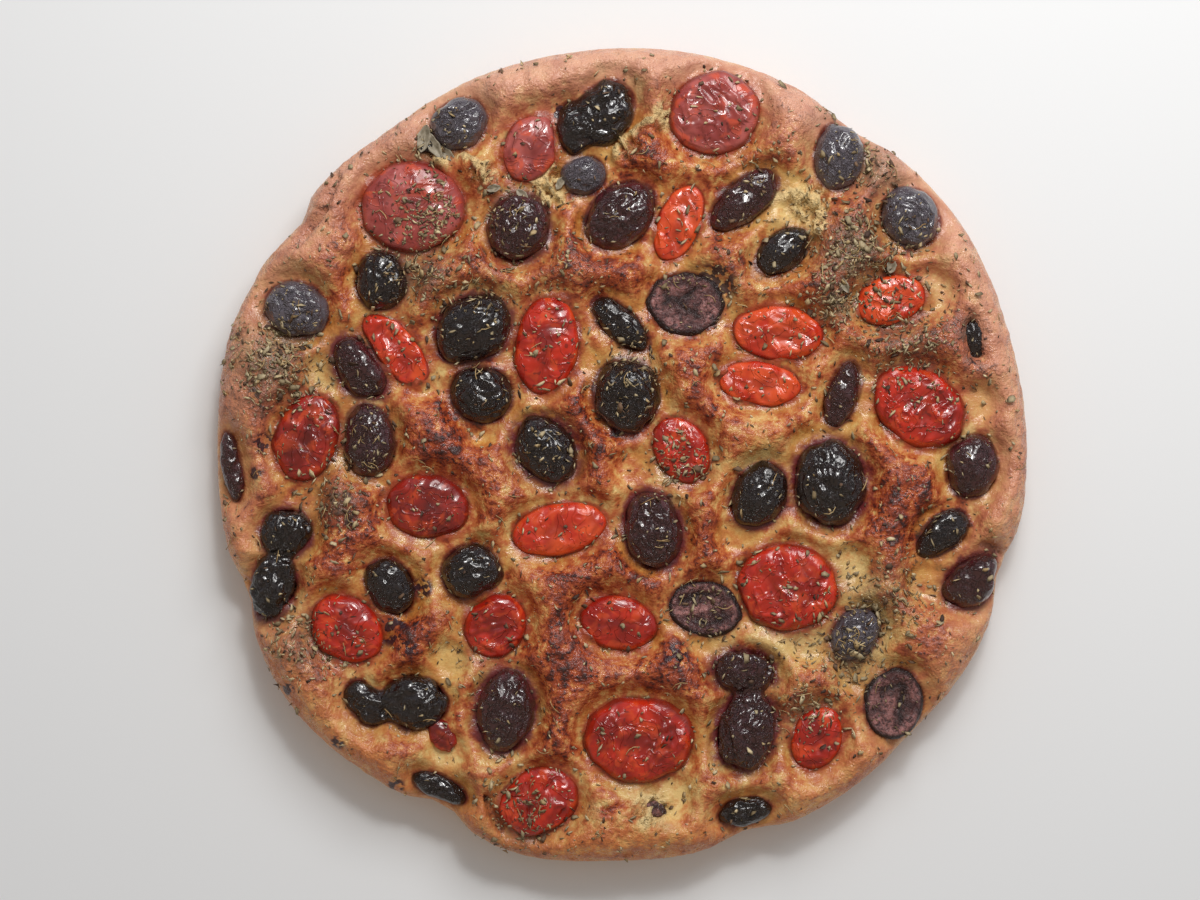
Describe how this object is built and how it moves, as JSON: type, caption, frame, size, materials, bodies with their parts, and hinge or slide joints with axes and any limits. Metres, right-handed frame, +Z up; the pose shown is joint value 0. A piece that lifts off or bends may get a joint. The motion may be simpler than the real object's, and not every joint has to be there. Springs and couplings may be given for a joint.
{
  "type": "focaccia",
  "caption": "Round puffed focaccia with olives and halved cherry tomatoes baked into its dimpled top, and dried oregano scattered over it.",
  "frame": {"origin": "under the middle of the loaf, on its flat base", "axes": "+Z up out of the topped side, +X to the right and +Y away as the loaf is seen from above"},
  "size_m": [0.2706, 0.2716, 0.0284],
  "materials": {
    "crust": "baked golden-brown crust, matte",
    "olive_skin": "black olive skin, oiled and wrinkled",
    "olive_flesh": "cut olive, purple and dull",
    "tomato_skin": "baked tomato skin, red and glossy"
  },
  "bodies": {
    "root": {"bread": "crust", "cut_olive_1": "olive_flesh", "cut_olive_2": "olive_flesh", "cut_olive_3": "olive_flesh", "olive_01": "olive_skin", "olive_02": "olive_skin", "olive_03": "olive_skin", "olive_04": "olive_skin", "olive_05": "olive_skin", "olive_06": "olive_skin", "olive_07": "olive_skin", "olive_08": "olive_skin", "olive_09": "olive_skin", "olive_10": "olive_skin", "olive_11": "olive_skin", "olive_12": "olive_skin", "olive_13": "olive_skin", "olive_14": "olive_skin", "olive_15": "olive_skin", "olive_16": "olive_skin", "olive_17": "olive_skin", "olive_18": "olive_skin", "olive_19": "olive_skin", "olive_20": "olive_skin", "olive_21": "olive_skin", "olive_22": "olive_skin", "olive_23": "olive_skin", "olive_24": "olive_skin", "olive_25": "olive_skin", "olive_26": "olive_skin", "olive_27": "olive_skin", "olive_28": "olive_skin", "olive_29": "olive_skin", "olive_30": "olive_skin", "olive_31": "olive_skin", "olive_pair_1": "olive_skin", "olive_pair_2": "olive_skin", "olive_pair_3": "olive_skin", "olive_pair_4": "olive_skin", "tomato_01": "tomato_skin", "tomato_02": "tomato_skin", "tomato_03": "tomato_skin", "tomato_04": "tomato_skin", "tomato_05": "tomato_skin", "tomato_06": "tomato_skin", "tomato_07": "tomato_skin", "tomato_08": "tomato_skin", "tomato_09": "tomato_skin", "tomato_10": "tomato_skin", "tomato_11": "tomato_skin", "tomato_12": "tomato_skin", "tomato_13": "tomato_skin", "tomato_14": "tomato_skin", "tomato_15": "tomato_skin", "tomato_16": "tomato_skin", "tomato_17": "tomato_skin", "tomato_18": "tomato_skin", "tomato_19": "tomato_skin", "tomato_20": "tomato_skin", "tomato_21": "tomato_skin"}
  },
  "joints": []
}
